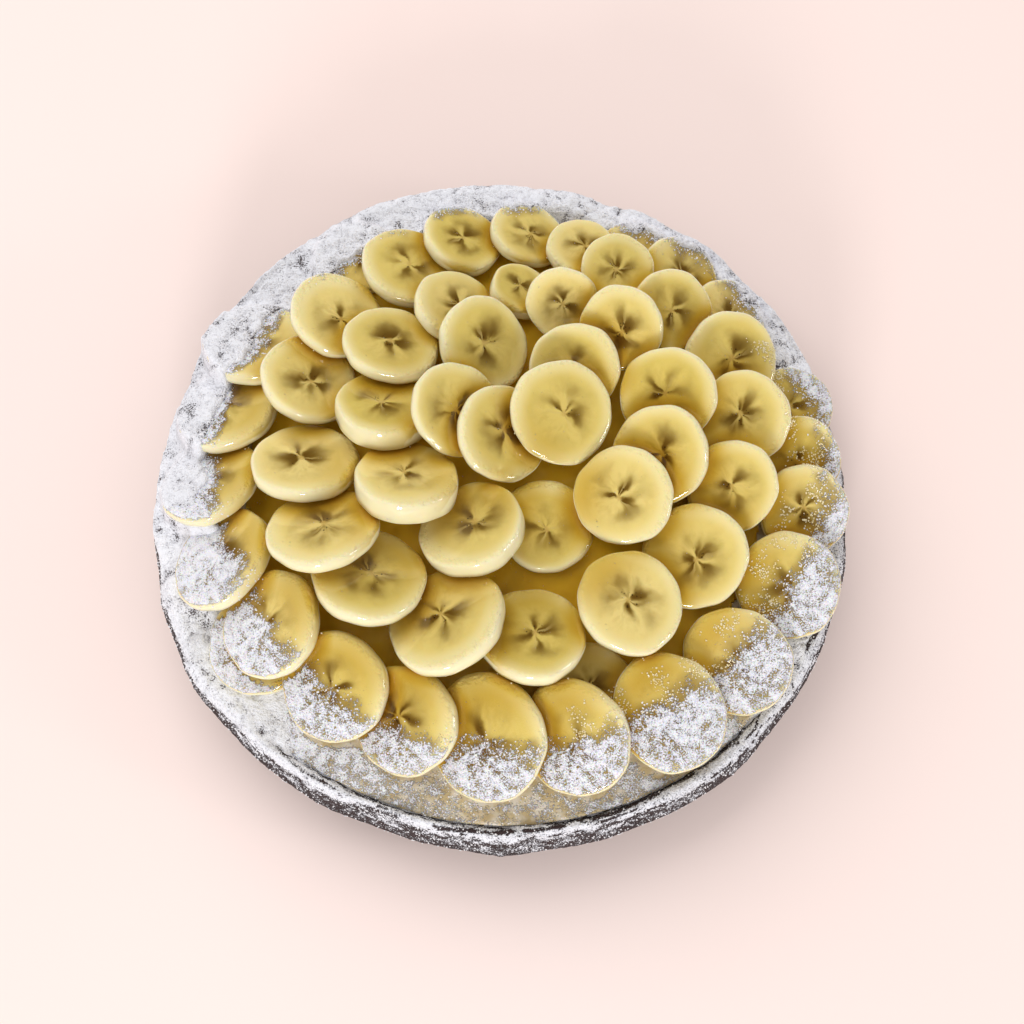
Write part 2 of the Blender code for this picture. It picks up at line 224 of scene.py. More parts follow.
def banana_flesh():
    """Ripe banana, cut across and brushed with glaze: pale and soft, darker round the seeds, wet on top."""
    made, tree, shader = new_material("glazed banana flesh")
    place = node(tree, "Attribute", {}, attribute_name="place").outputs["Vector"]
    seed = node(tree, "Attribute", {}, attribute_name="seed").outputs["Fac"]
    pool_and_shade = node(tree, "Attribute", {}, attribute_name="pool_and_shade").outputs["Fac"]
    dust = node(tree, "Attribute", {}, attribute_name="dust").outputs["Fac"]

    parts = node(tree, "SeparateXYZ", {0: place})
    face = parts.outputs[2]
    across = node(tree, "CombineXYZ", {0: parts.outputs[0], 1: parts.outputs[1], 2: seed}).outputs[0]

    # The lobes round the core are soft and uneven, so the pattern is bent before it is read.
    bent = across
    for scale, size in ((1.9, 0.27), (6.0, 0.08)):
        bend = node(tree, "TexNoise", {"Vector": across, "Scale": scale, "Detail": 2.0}).outputs["Color"]
        bend = node(tree, "VectorMath", {0: bend, 1: (0.5, 0.5, 0.5)}, operation="SUBTRACT").outputs[0]
        bend = node(tree, "VectorMath", {0: bend, 1: (size, size, 0.0)}, operation="MULTIPLY").outputs[0]
        bent = node(tree, "VectorMath", {0: bent, 1: bend}, operation="ADD").outputs[0]
    bent = node(tree, "SeparateXYZ", {0: bent})
    ray = node(tree, "CombineXYZ", {0: bent.outputs[0], 1: bent.outputs[1], 2: 0.0}).outputs[0]
    far = node(tree, "VectorMath", {0: ray}, operation="LENGTH").outputs["Value"]
    angle = node(tree, "Math", {0: bent.outputs[1], 1: bent.outputs[0]}, operation="ARCTAN2").outputs[0]
    aim = node(tree, "VectorMath", {0: ray}, operation="NORMALIZE").outputs[0]

    # The seed rows are dark blots drawn out from the core, each as broad, dark and long as chance makes it.
    drawn_out = node(tree, "Math", {0: far, 1: 1.3, 2: seed}, operation="MULTIPLY_ADD").outputs[0]
    aim = node(tree, "SeparateXYZ", {0: aim})
    aim = node(tree, "CombineXYZ", {0: aim.outputs[0], 1: aim.outputs[1], 2: drawn_out}).outputs[0]
    chance = node(tree, "TexNoise", {"Vector": aim, "Scale": 1.15, "Detail": 0.6}).outputs["Fac"]
    longest = within(tree, (chance, 0.4, 0.7, 0.32, 0.7))
    arms = within(tree, (chance, 0.46, 0.66), (far, 0.02, 0.11), (far, 0.12, longest, 1.0, 0.0), face)
    lobes = within(tree, (chance, 0.36, 0.6, 0.08, 0.9), (far, 0.16, 0.8, 1.0, 0.0), face)

    # The pale core, the three pale walls that part the fruit, and the fibres that run out from it.
    core = within(tree, (far, 0.03, 0.085, 0.75, 0.0))
    three = node(tree, "Math", {0: angle, 1: 3.0, 2: math.pi / 2}, operation="MULTIPLY_ADD").outputs[0]
    three = node(tree, "Math", {0: three}, operation="COSINE").outputs[0]
    wall = within(tree, (three, 0.88, 1.0), (far, 0.1, 0.5, 0.6, 0.0), face)
    fibre = node(tree, "TexNoise", {"Vector": aim, "Scale": 4.5, "Detail": 2.0}).outputs["Fac"]
    fibre = within(tree, (fibre, 0.4, 0.7, 0.0, 0.25), (far, 0.12, 0.3), (far, 0.35, 0.85, 1.0, 0.0), face)

    # Seeds are specks under a millimetre, only in the dark of a row.
    specks = node(tree, "TexVoronoi", {"Vector": across, "Scale": 13.0}).outputs["Distance"]
    specks = within(tree, (specks, 0.1, 0.32, 0.9, 0.0), (far, 0.16, 0.26, 1.0, 0.0), (lobes, 0.2, 0.5))

    # From one slice to the next the flesh is riper or paler. Pooled glaze and painted shade darken it to
    # amber.
    flat = node(tree, "VectorMath", {0: place, 1: (1.0, 1.0, 0.0)}, operation="MULTIPLY").outputs[0]
    reach = node(tree, "VectorMath", {0: flat}, operation="LENGTH").outputs["Value"]
    ripe = node(tree, "TexWhiteNoise", {"W": seed}, noise_dimensions="1D").outputs["Value"]
    shade = node(tree, "Mix", {0: ripe, 6: "#E0C86A", 7: "#F2DC8F"}, data_type="RGBA").outputs[2]
    rim = within(tree, (reach, 0.66, 0.97, 0.0, 0.65))
    marks = (
        (rim, "#F8EDB8"),
        (fibre, "#BF9F48"),
        (lobes, "#987A2C"),
        (arms, "#6A4D16"),
        (wall, "#D9C176"),
        (specks, "#2C1D09"),
        (core, "#CFB063"),
    )
    for share, code in marks:
        shade = node(tree, "Mix", {0: share, 6: shade, 7: code}, data_type="RGBA").outputs[2]
    shade = node(tree, "Mix", {0: face, 6: "#F5ECC2", 7: shade}, data_type="RGBA").outputs[2]
    # The pool darkens the flesh towards amber: pooled glaze, and painted shade under and beside the slices
    # laid on it.
    for low, high, code in ((0.0, 0.5, "#DCC672"), (0.35, 1.0, "#D4AA36")):
        share = within(tree, (pool_and_shade, low, high))
        ends = {0: share, 6: shade, 7: code}
        shade = node(tree, "Mix", ends, data_type="RGBA", blend_type="MULTIPLY").outputs[2]
    # Under the sugar, short of the rounded edge, the flesh turns browner.
    browner_under_sugar = within(tree, (dust, 0.06, 0.5, 0.0, 0.55), (reach, 0.8, 0.93, 1.0, 0.0), face)
    shade = node(tree, "Mix", {0: browner_under_sugar, 6: shade, 7: "#7C5A2C"}, data_type="RGBA").outputs[2]

    # The glaze lies in low waves, and stands in small beads along the rounded edge.
    where = node(tree, "TexCoord", {}).outputs["Object"]
    waves = node(tree, "TexNoise", {"Vector": where, "Scale": per_mm(6.0), "Detail": 1.0}).outputs["Fac"]
    beads = node(tree, "TexNoise", {"Vector": where, "Scale": per_mm(1.5), "Detail": 2.0}).outputs["Fac"]
    beads = node(tree, "Math", {0: beads, 1: 0.5}, operation="SUBTRACT").outputs[0]
    beads = within(tree, beads, (reach, 0.86, 0.95, 0.0, 2.8), (face, 0.0, 0.1))
    relief = node(tree, "Math", {0: waves, 1: 0.5, 2: beads}, operation="MULTIPLY_ADD").outputs[0]
    dust_with_sugar(tree, shader, shade, 0.4, 1.0, relief)
    shader.inputs["Specular IOR Level"].default_value = 0.1
    shader.inputs["Subsurface Weight"].default_value = 0.3
    shader.inputs["Subsurface Radius"].default_value = (1.0, 0.62, 0.22)
    shader.inputs["Subsurface Scale"].default_value = 2.2 * MM
    shader.inputs["IOR"].default_value = 1.42
    shader.inputs["Coat Roughness"].default_value = 0.055
    shader.inputs["Coat IOR"].default_value = 1.7
    return made


def chocolate_crust():
    """Cocoa short crust, baked: nearly black brown, matt and full of crumbs, under sugar."""
    made, tree, shader = new_material("chocolate short crust")
    where = node(tree, "TexCoord", {}).outputs["Object"]
    crumb = node(tree, "TexNoise", {"Vector": where, "Scale": per_mm(1.6), "Detail": 4.0, "Roughness": 0.7})
    patch = node(tree, "TexNoise", {"Vector": where, "Scale": per_mm(9.0), "Detail": 2.0}).outputs["Fac"]
    dark = node(tree, "Mix", {0: patch, 6: "#241A1B", 7: "#4A3A3A"}, data_type="RGBA").outputs[2]
    dust_with_sugar(tree, shader, dark, 0.85, 0.0, crumb.outputs["Fac"], patchy=0.8)
    return made


def set_custard():
    """Baked custard: dense, pale and a little translucent, its skin dull."""
    made, tree, shader = new_material("set custard")
    where = node(tree, "TexCoord", {}).outputs["Object"]
    patch = node(tree, "TexNoise", {"Vector": where, "Scale": per_mm(7.0), "Detail": 3.0}).outputs["Fac"]
    cream = node(tree, "Mix", {0: patch, 6: "#B39A6C", 7: "#D2C197"}, data_type="RGBA").outputs[2]
    # Sugar that lay on the moist custard has sunk in, and left pale smears.
    smear = node(tree, "TexNoise", {"Vector": where, "Scale": per_mm(3.5), "Detail": 3.0}).outputs["Fac"]
    smear = node(tree, "MapRange", {"Value": smear, "From Min": 0.42, "From Max": 0.68, "To Max": 0.75})
    ends = {0: smear.outputs["Result"], 6: cream, 7: "#E3DCD2"}
    cream = node(tree, "Mix", ends, data_type="RGBA").outputs[2]
    dust_with_sugar(tree, shader, cream, 0.45, 0.0, patch)
    shader.inputs["Subsurface Weight"].default_value = 0.2
    shader.inputs["Subsurface Radius"].default_value = (1.0, 0.6, 0.25)
    shader.inputs["Subsurface Scale"].default_value = 2.0 * MM
    return made


def amber_glaze():
    """Apricot glaze, set as a thick jelly: amber, smooth and wet."""
    made, tree, shader = new_material("set apricot glaze")
    where = node(tree, "TexCoord", {}).outputs["Object"]
    deep = node(tree, "TexNoise", {"Vector": where, "Scale": per_mm(8.0), "Detail": 1.0}).outputs["Fac"]
    amber = node(tree, "Mix", {0: deep, 6: "#B48810", 7: "#DAAE2C"}, data_type="RGBA").outputs[2]
    dust_with_sugar(tree, shader, amber, 0.4, 0.5, deep)
    shader.inputs["Specular IOR Level"].default_value = 0.12
    shader.inputs["Subsurface Weight"].default_value = 0.3
    shader.inputs["Subsurface Radius"].default_value = (1.0, 0.5, 0.1)
    shader.inputs["Subsurface Scale"].default_value = 2.0 * MM
    shader.inputs["Coat Roughness"].default_value = 0.12
    return made


def banked_sugar():
    """Icing sugar sieved thick: a matt white bed with cocoa crumbs showing through, and painted shade in its
    hollows.
    """
    made, tree, shader = new_material("banked icing sugar")
    where = node(tree, "TexCoord", {}).outputs["Object"]
    soft = node(tree, "TexNoise", {"Vector": where, "Scale": per_mm(2.0), "Detail": 3.0}).outputs["Fac"]
    crumbs = node(tree, "Mix", {0: soft, 6: "#3C3030", 7: "#6F6163"}, data_type="RGBA").outputs[2]
    dust_with_sugar(tree, shader, crumbs, 0.9, 0.0, soft, patchy=0.8)
    return made


def sugar_clumps():
    """Icing sugar in loose clumps: white with a cold cast, and quite matt."""
    made, tree, shader = new_material("icing sugar clumps")
    where = node(tree, "TexCoord", {}).outputs["Object"]
    uneven = node(tree, "TexNoise", {"Vector": where, "Scale": per_mm(1.5), "Detail": 2.0}).outputs["Fac"]
    white = node(tree, "Mix", {0: uneven, 6: "#E4E2E6", 7: "#FCFBFC"}, data_type="RGBA").outputs[2]
    tree.links.new(white, shader.inputs["Base Color"])
    shader.inputs["Roughness"].default_value = 0.95
    return made


def glinting_glaze_beads():
    """Drops and bubbles of glaze caught along the slices' edges: clear gold, painted pale, nearly white, as
    glints, and glossy on top.
    """
    made, tree, shader = new_material("glaze drops with painted glints")
    where = node(tree, "TexCoord", {}).outputs["Object"]
    uneven = node(tree, "TexNoise", {"Vector": where, "Scale": per_mm(4.0), "Detail": 1.0}).outputs["Fac"]
    # Pale gold to nearly white: painted glints.
    gold_and_glint = node(tree, "Mix", {0: uneven, 6: "#EACF80", 7: "#FFF8DF"}, data_type="RGBA").outputs[2]
    tree.links.new(gold_and_glint, shader.inputs["Base Color"])
    shader.inputs["Roughness"].default_value = 0.08
    shader.inputs["Coat Weight"].default_value = 1.0
    shader.inputs["Coat Roughness"].default_value = 0.03
    return made


# Shapes


def tree_of(objects):
    """A search tree, in millimetres, over the world shapes of these objects."""
    points, faces = [], []
    for thing in objects:
        start = len(points)
        matrix = thing.matrix_world
        points.extend(matrix @ vertex.co / MM for vertex in thing.data.vertices)
        faces.extend(tuple(start + i for i in polygon.vertices) for polygon in thing.data.polygons)
    return BVHTree.FromPolygons(points, faces)


def add_piece(name, points, faces, surface, matrix=None):
    """A smooth mesh object from points in millimetres."""
    mesh = bpy.data.meshes.new(name)
    mesh.from_pydata((np.asarray(points) * MM).tolist(), [], faces)
    mesh.update()
    mesh.shade_smooth()
    mesh.materials.append(surface)
    thing = bpy.data.objects.new(name, mesh)
    bpy.context.scene.collection.objects.link(thing)
    if matrix is not None:
        thing.matrix_world = matrix
    bpy.context.view_layer.update()
    return thing


def set_values(thing, name, values):
    """Keeps one number, or one vector, for each point of the mesh."""
    values = np.asarray(values, np.float32)
    kind, slot = ("FLOAT_VECTOR", "vector") if values.ndim == 2 else ("FLOAT", "value")
    kept = thing.data.attributes.new(name, kind, "POINT")
    kept.data.foreach_set(slot, values.ravel())


def world_points(thing):
    """The mesh's points in the world, in millimetres, and their normals."""
    matrix = np.array(thing.matrix_world)
    count = len(thing.data.vertices)
    points, normals = np.empty(count * 3, np.float32), np.empty(count * 3, np.float32)
    thing.data.vertices.foreach_get("co", points)
    thing.data.vertex_normals.foreach_get("vector", normals)
    points = points.reshape(-1, 3) @ matrix[:3, :3].T + matrix[:3, 3]
    return points / MM, normals.reshape(-1, 3) @ matrix[:3, :3].T


def turned_faces(rings, count):
    """Faces of a closed body of rings, with one point below them, first, and one above, last."""
    faces = []
    last = 1 + rings * count
    for i in range(count):
        j = (i + 1) % count
        faces.append((0, 1 + j, 1 + i))
        for k in range(rings - 1):
            low, high = 1 + k * count, 1 + (k + 1) * count
            faces.append((low + i, low + j, high + j, high + i))
        faces.append((last - count + i, last - count + j, last))
    return faces


def beyond_edge(points):
    """How far each point lies outside the line where the sugar begins, in mm. The line is ragged."""
    away = np.hypot(points[:, 0], points[:, 1]) - at_bearing(points, SUGAR_EDGE)
    ground = points * (1, 1, 0)
    return away + 4.0 * wander(ground, 13.0, 1) + 2.5 * wander(ground, 4.5, 2)


def sugar_cover(points, normals, roof):
    """How closed the sugar is at each point, 1 and over where it is: it falls from above, so steep and
    sheltered places stay bare. Its edge is sharp at the left and fades at the front and right."""
    soft = 8.0 - 4.0 * round_about(points, 155, 55)
    full = 0.95 + 0.22 * round_about(points, 175, 40)
    cover = smooth(-0.6, 1.0, beyond_edge(points) / soft) * (full + 0.3 * wander(points, 5.0, 3))
    cover *= smooth(0.35, 0.75, normals[:, 2])
    up = Vector((0, 0, 1))
    for i in np.flatnonzero(cover > 0.02):
        start = Vector(points[i]) + 0.5 * Vector(normals[i])
        if roof.ray_cast(start, up, 25.0)[0] is not None:
            cover[i] *= 0.25
    return cover


def read_slice(cad):
    """Of a slice's solid: the middle of its cut face, its axes, its thickness, and its reach at even angles.
    The reach keeps the solid's broad waves and leaves out its corners."""
    raw = np.array([vertex.co for vertex in cad.data.vertices]) / MM
    points = np.unique(np.round(raw, 2), axis=0)
    spread = points - points.mean(axis=0)
    normal = np.linalg.eigh(spread.T @ spread)[1][:, 0]
    normal *= np.sign(normal[2])
    heights = spread @ normal
    top = points[heights > heights.max() - 0.15]
    middle = top.mean(axis=0)
    thickness = heights.max() - heights.min()
    side = np.cross((0, 1, 0), normal)
    side /= np.linalg.norm(side)
    axes = np.array((side, np.cross(normal, side), normal))
    local = (points - middle) @ axes.T
    widest = local[np.abs(local[:, 2] + 0.32 * thickness) < 0.15 * thickness]
    angles, reach = np.arctan2(widest[:, 1], widest[:, 0]), np.hypot(widest[:, 0], widest[:, 1])
    order = np.argsort(angles)
    even = np.linspace(-math.pi, math.pi, SLICE_ROUND, endpoint=False)
    reach = np.interp(even, angles[order], reach[order], period=math.tau)
    waves = np.fft.rfft(reach)
    waves[8:] = 0
    return middle, axes, thickness, even, np.fft.irfft(waves, SLICE_ROUND)


def banana_slice(name, cad, number, surface):
    """One slice over its solid: rounded edge, hollow face, and its own turn of the core."""
    draw = np.random.default_rng(1000 + number)
    middle, axes, thickness, angles, reach = read_slice(cad)
    ring = np.column_stack((reach * np.cos(angles), reach * np.sin(angles)))
    phases = draw.uniform(0, math.tau, 4)
    edge_wave = 0.1 * np.sin(3 * angles + phases[0]) + 0.07 * np.sin(7 * angles + phases[1])
    turn = draw.uniform(0, math.tau)
    shift = draw.normal(0, 0.05, 2)
    spin = np.array(((math.cos(turn), -math.sin(turn)), (math.sin(turn), math.cos(turn))))
    points = [(0, 0, -thickness)]
    place = [(0, 0, 0)]
    for share, lift, times, face in SLICE_ROWS:
        height = lift + times * thickness + edge_wave * share**2 * smooth(-1.0, 0.0, times)
        uneven = 0.006 * np.sin(7 * angles + phases[3]) + 0.005 * np.sin(12 * angles + phases[2])
        outline = ring * share * (1 + uneven * smooth(0.6, 0.95, share))[:, None]
        points.extend(np.column_stack((outline, height)))
        flat = np.column_stack((share * np.cos(angles), share * np.sin(angles))) @ spin.T + shift
        place.extend((x, y, face) for x, y in flat)
    points.append((0, 0, SLICE_ROWS[-1][1] - 0.02))
    place.append((*shift, 1))
    matrix = Matrix.Translation(middle * MM) @ Matrix(axes.T.tolist()).to_4x4()
    faces = turned_faces(len(SLICE_ROWS), SLICE_ROUND)
    thing = add_piece(name, np.array(points, float), faces, surface, matrix)
    set_values(thing, "place", place)
    set_values(thing, "seed", np.full(len(points), number * 3.7))
    return thing


def pooled_glaze_and_shade(index, points, normals, own_trees, middles):
    """How deep the glaze stands at each point of a slice, from 0 to 1, together with painted shade: deep
    against the slices laid on it, along the foot of its wall and, a little, on the side towards the tart's
    middle. The painted shade is weaker at the back and a little stronger at the front right."""
    apart = [(middle - middles[index]).length for middle in middles]
    later = [own_trees[k] for k in range(index + 1, len(middles)) if apart[k] < 40]
    others = [own_trees[k] for k in range(len(middles)) if k != index and apart[k] < 40]
    uphill = middles[index].xy.length - np.hypot(points[:, 0], points[:, 1])
    back = round_about(points, 95, 55)
    # Painted shade: the side towards the middle darkens less at the back, where the light falls, and a little
    # more at the front right.
    uphill_pool_and_shade = 0.36 - 0.25 * back + 0.05 * round_about(points, 330, 60)
    pool_and_shade = uphill_pool_and_shade * smooth(-4.0, 16.0, uphill) * (normals[:, 2] > 0.3)
    for i, point in enumerate(points):
        on_face = normals[i, 2] > 0.3
        gaps = [tree.find_nearest(Vector(point), 12.0)[3] for tree in (later if on_face else others)]
        gaps = [gap for gap in gaps if gap is not None]
        if gaps:
            # Painted shade against the slices laid on it reaches less far at the back.
            reach = 4.4 - 1.8 * back[i] if on_face else 1.2
            pool_and_shade[i] = max(pool_and_shade[i], 0.95 * math.exp(-min(gaps) / reach))
    return pool_and_shade


def case_rays():
    """How the case is looked for at each bearing: (distance, height) to start from, within the thickness of
    its wall, and (out, up) to go."""
    rays = [((107.0 + 0.08 * z, z), (1.0, 0.0)) for z in np.arange(1.0, 22.1, 1.05)]
    for tilt in np.radians(np.arange(6, 175, 5.6)):
        rays.append(((109.5, 23.0), (math.cos(tilt), math.sin(tilt))))
    rays.extend(((109.5, z), (-1.0, 0.0)) for z in (23.0, 20.0, 12.0))
    return rays


def pastry_case(cad, surface):
    """The case: its solid's form, with the crags and crumbs of short crust, roughest at the back."""
    solid = tree_of([cad])
    rays = case_rays()
    angles = np.linspace(0, math.tau, CRUST_ROUND, endpoint=False)
    found = np.empty((len(rays), CRUST_ROUND, 3))
    aims = np.empty_like(found)
    for k, ((r, z), (out, up)) in enumerate(rays):
        for i, angle in enumerate(angles):
            c, s = math.cos(angle), math.sin(angle)
            aim = Vector((out * c, out * s, up))
            found[k, i] = solid.ray_cast(Vector((r * c, r * s, z)), aim)[0]
            aims[k, i] = aim
    flat, way = found.reshape(-1, 3), aims.reshape(-1, 3)
    on_top = smooth(0.2, 0.8, way[:, 2])
    coarse = (0.12 + 0.4 * on_top) * (1 + 0.5 * round_about(flat, 100, 50))
    rough = coarse * wander(flat, 6.5, 11) + (0.14 + 0.26 * on_top) * wander(flat, 2.6, 12)
    rough += 0.16 * wander(flat, 1.3, 13) + 1.6 * on_top * round_about(flat, 92, 55)
    flat += way * rough[:, None]
    below = [flat[i] * (share, share, 0) for share in (0.5, 0.975, 0.99) for i in range(CRUST_ROUND)]
    rim_end = flat[-CRUST_ROUND:]
    inside = [point * (share, share, 0) + (0, 0, FLOOR_TOP) for share in (0.97, 0.5) for point in rim_end]
    points = np.concatenate(([(0, 0, 0)], below, flat, inside, [(0, 0, FLOOR_TOP)]))
    return add_piece("pastry_case", points, turned_faces(len(rays) + 5, CRUST_ROUND), surface)


def crack_lines(points):
    """1 on thin cracks that run roughly along the rim, and 0 off them."""
    turned = np.radians(bearings_of(points)) * 100
    along = np.column_stack((turned / 14, np.hypot(points[:, 0], points[:, 1]) / 3.2, points[:, 2] / 9))
    return 1 - smooth(0.0, 0.06, np.abs(wander(along, 1.0, 33)))


def case_dust(points, normals):
    """Sugar on the case: closed on top of the rim at the left, thin at the right, and cracked along the
    front, where the outer edge is dark."""
    front, right = round_about(points, 275, 42), round_about(points, 350, 48)
    away = np.hypot(points[:, 0], points[:, 1])
    outer = smooth(107.0, 113.0, away)
    top = 1.28 - (0.08 + 0.14 * outer) * front - 0.22 * right + 0.12 * wander(points, 5.0, 32)
    top -= 1.0 * crack_lines(points) * np.clip(front + right, 0, 1)
    # A broken crack runs along the inner side of the rim at the front.
    seam = np.exp(-(((away - 108.6 - 0.7 * wander(points, 9.0, 34)) / 0.6) ** 2))
    top -= 1.1 * seam * front * smooth(-0.25, 0.1, wander(points, 8.0, 35))
    height = smooth(0.0, 29.0, points[:, 2])
    side = -0.05 + (0.42 + 0.14 * front) * height + 0.16 * wander(points, 7.0, 31)
    upward = smooth(0.3, 0.7, normals[:, 2])
    return np.where(points[:, 2] > 4, side * (1 - upward) + top * upward, 0.0)


def custard_fill(cad, surface):
    """The filling: its solid's form, just reaching into the case, with a crust of its own."""
    solid = tree_of([cad])
    angles = np.linspace(0, math.tau, CUSTARD_ROUND, endpoint=False)
    edge = []
    for angle in angles:
        aim = Vector((math.cos(angle), math.sin(angle), 0))
        edge.append(solid.ray_cast(Vector((0, 0, FULL_WIDTH)), aim)[0].xy.length)
    points = [(0, 0, FLOOR_TOP)]
    for height in (8.0, 24.0):
        points.extend((r * math.cos(a), r * math.sin(a), height) for r, a in zip(edge, angles))
    shares = np.concatenate((np.linspace(1.012, 0.72, 26), np.linspace(0.66, 0.06, 9)))
    for share in shares:
        for r, a in zip(edge, angles):
            x, y = r * share * math.cos(a), r * share * math.sin(a)
            inner = min(share, 0.985) / share
            hit = solid.ray_cast(Vector((x * inner, y * inner, ABOVE)), Vector((0, 0, -1)))[0]
            points.append((x, y, hit.z))
    points = np.array(points)
    top = points[1 + 2 * CUSTARD_ROUND :]
    top[:, 2] += 0.45 * wander(top, 7.0, 21) + 0.3 * wander(top, 2.4, 22)
    points = np.concatenate((points, [(0, 0, top[-CUSTARD_ROUND:, 2].mean() + 0.2)]))
    return add_piece("custard_fill", points, turned_faces(2 + len(shares), CUSTARD_ROUND), surface)


def spread_highest(field, reach):
    """Each cell takes the highest value within reach cells."""
    steps = range(-reach, reach + 1)
    found = field.copy()
    for dx in steps:
        for dy in steps:
            if dx * dx + dy * dy <= reach * reach:
                found = np.maximum(found, np.roll(field, (dx, dy), axis=(0, 1)))
    return found


def soften(field, rounds):
    for _ in range(rounds):
        for axis in (0, 1):
            field = (np.roll(field, 1, axis) + 2 * field + np.roll(field, -1, axis)) / 4
    return field


def fill_hollows(field, reach):
    """Raises every hollow that is narrower than twice the reach, in cells, to the level of its sides."""
    wide = np.pad(field, reach, mode="edge")
    wide = -spread_highest(-spread_highest(wide, reach), reach)
    return wide[reach:-reach, reach:-reach]


def heights_below(tree, x, y, otherwise):
    """The height of what lies under each place on a grid."""
    down = Vector((0, 0, -1))
    hits = [tree.ray_cast(Vector((px, py, ABOVE)), down)[0] for px, py in zip(x.ravel(), y.ravel())]
    return np.array([otherwise if hit is None else hit.z for hit in hits]).reshape(x.shape)


def run_in_glaze(filling, surface):
    """The glaze that has run in between the slices: it lies on the filling, and shows in the gaps."""
    ticks = np.arange(-96.0, 96.1, GLAZE_CELL)
    x, y = np.meshgrid(ticks, ticks)
    ground = heights_below(tree_of([filling]), x, y, 20.0)
    places = np.column_stack((x.ravel(), y.ravel(), np.zeros(x.size)))
    level = soften(ground, 2) + 1.3 + 0.5 * wander(places, 7.0, 51).reshape(x.shape)
    kept = (np.hypot(x - 1, y - 3) < GLAZE_END) & (ground > 24)
    number = np.full(kept.shape, -1)
    number[kept] = np.arange(kept.sum())
    upper = np.column_stack((x[kept], y[kept], level[kept]))
    lower = upper - (0, 0, SHEET)
    whole = kept[:-1, :-1] & kept[1:, :-1] & kept[:-1, 1:] & kept[1:, 1:]
    rows, columns = np.nonzero(whole)
    corners = ((0, 0), (0, 1), (1, 1), (1, 0))
    quads = np.column_stack([number[rows + down, columns + along] for down, along in corners])
    under = quads[:, ::-1] + len(upper)
    ends = np.concatenate([quads[:, [k, (k + 1) % 4]] for k in range(4)])
    seen = set(map(tuple, ends.tolist()))
    border = [(a, b) for a, b in seen if (b, a) not in seen]
    walls = [(b, a, a + len(upper), b + len(upper)) for a, b in sorted(border)]
    faces = quads.tolist() + under.tolist() + walls
    points = np.concatenate((upper, lower))
    used = sorted({i for face in faces for i in face})
    renumber = {old: new for new, old in enumerate(used)}
    faces = [tuple(renumber[i] for i in face) for face in faces]
    return add_piece("run_in_glaze", points[used], faces, surface)


def sugar_bank(case, filling, slices, surface):
    """The bank of sugar from the slices' ends to the rim. It bridges the groove beside the case, buries the
    ends of the slices at the left and back, and lies low at the front, where the custard shows."""
    angles = np.linspace(0, math.tau, BANK_ROUND, endpoint=False)
    rim = tree_of([case])
    outline = []
    for angle in angles:
        out = Vector((math.cos(angle), math.sin(angle), 0))
        outline.append(rim.ray_cast(OUTSIDE * out + Vector((0, 0, WIDEST)), -out)[0].xy.length)
    outline = np.array(outline)[:, None]
    steps = np.linspace(0.0, 1.0, BANK_STEPS)
    reach = BANK_START + (outline - 0.8 - BANK_START) * steps[None, :]
    x, y = reach * np.cos(angles)[:, None], reach * np.sin(angles)[:, None]
    bed = heights_below(tree_of([case, filling]), x, y, 20.0)
    heap = heights_below(tree_of([case, filling, *slices]), x, y, 20.0)
    low = soften(fill_hollows(bed, 8), 2)
    high = soften(spread_highest(fill_hollows(heap, 13), 2), 3)
    spots = np.column_stack((x.ravel(), y.ravel(), np.zeros(x.size)))
    beyond = beyond_edge(spots).reshape(x.shape)
    to_rim = outline - reach
    front = round_about(spots, 277, 27).reshape(x.shape)
    right = round_about(spots, 352, 45).reshape(x.shape)
    custard_bare = smooth(0.15, 0.5, round_about(spots, 275, 41)).reshape(x.shape)
    buried = at_bearing(spots, BURIED).reshape(x.shape) * smooth(0.5, 5.0, beyond)
    lumps = 0.45 * wander(spots, 6.0, 41) + 0.6 * wander(spots, 2.6, 42) + 0.34 * wander(spots, 1.3, 43)
    lumps = lumps.reshape(x.shape)
    level = low + (np.maximum(high, low) - low) * buried + 0.5
    slope = bed[:, -14:].max(axis=1)[:, None] + 0.8 + 0.5 * np.maximum(to_rim - 3.0, 0)
    level = np.minimum(level, slope)
    level -= 3.0 * (1 - smooth(0.0, 3.6 + 3.0 * (front + right), to_rim))
    over_slices = soften(spread_highest(np.where(heap > bed + 0.3, heap, 0.0), 2), 1) + 0.7
    level += (np.maximum(level, over_slices) - level) * smooth(0.3, 0.8, buried) * smooth(0.4, 2.5, to_rim)
    for _ in range(2):
        level = (np.roll(level, 1, 0) + 2 * level + np.roll(level, -1, 0)) / 4
        level[:, 1:-1] = (level[:, :-2] + 2 * level[:, 1:-1] + level[:, 2:]) / 4
    level += lumps - 3.4 * custard_bare - 0.5 * right
    inner = smooth(-3.0, 4.0, beyond)
    level = level * inner + np.minimum(level, bed - 1.0) * (1 - inner)
    upper = np.column_stack((x.ravel(), y.ravel(), level.ravel()))
    count, across = x.shape
    faces = []
    for i in range(count):
        j = (i + 1) % count
        for k in range(across - 1):
            corners = (i * across + k, i * across + k + 1, j * across + k + 1, j * across + k)
            faces.append(corners)
            faces.append(tuple(corner + len(upper) for corner in reversed(corners)))
        for k, first, second in ((0, j, i), (across - 1, i, j)):
            a, b = first * across + k, second * across + k
            faces.append((b, a, a + len(upper), b + len(upper)))
    thing = add_piece("sugar_bank", np.concatenate((upper, upper - (0, 0, SHEET))), faces, surface)
    dust = 1.22 + 0.2 * wander(spots, 4.5, 44) - 0.3 * (1 - smooth(0.0, 6.0, beyond.ravel()))
    # Cocoa crumbs show in the pits between the clumps, and their darkness there is also painted shade.
    dust += 0.65 * lumps.ravel() - 0.15 * right.ravel()
    set_values(thing, "dust", np.concatenate((dust, dust)))
    return thing


